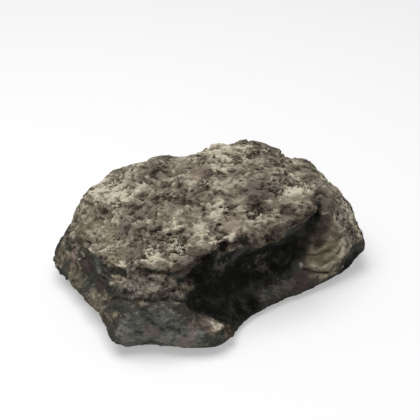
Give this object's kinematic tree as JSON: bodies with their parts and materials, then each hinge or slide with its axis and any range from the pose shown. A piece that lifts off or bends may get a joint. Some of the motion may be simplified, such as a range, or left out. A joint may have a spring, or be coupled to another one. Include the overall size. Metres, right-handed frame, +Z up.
{
  "type": "hide a key rock",
  "caption": "Hollow imitation stone of cast polyresin for hiding a house key, with a moulded compartment in its flat underside and a cover that slides out.",
  "frame": {"origin": "middle of the footprint, on the surface the stone rests on", "axes": "+X along the long way of the compartment, away from the end the cover slides out of; +Z up"},
  "size_m": [0.0989, 0.0784, 0.0387],
  "materials": {
    "cast_polyresin": "painted, rough and pitted like weathered limestone",
    "tray_plastic": "semi-gloss moulded black",
    "cover_plastic": "fine matt texture, moulded black"
  },
  "bodies": {
    "rock": {"rock_body": "cast_polyresin", "key_tray": "tray_plastic"},
    "cover": {"sliding_cover": "cover_plastic"}
  },
  "joints": [
    {"name": "cover_slide", "type": "slide", "parent": "rock", "child": "cover", "axis": [-1, 0, 0], "range_m": [0, 0.074]}
  ]
}
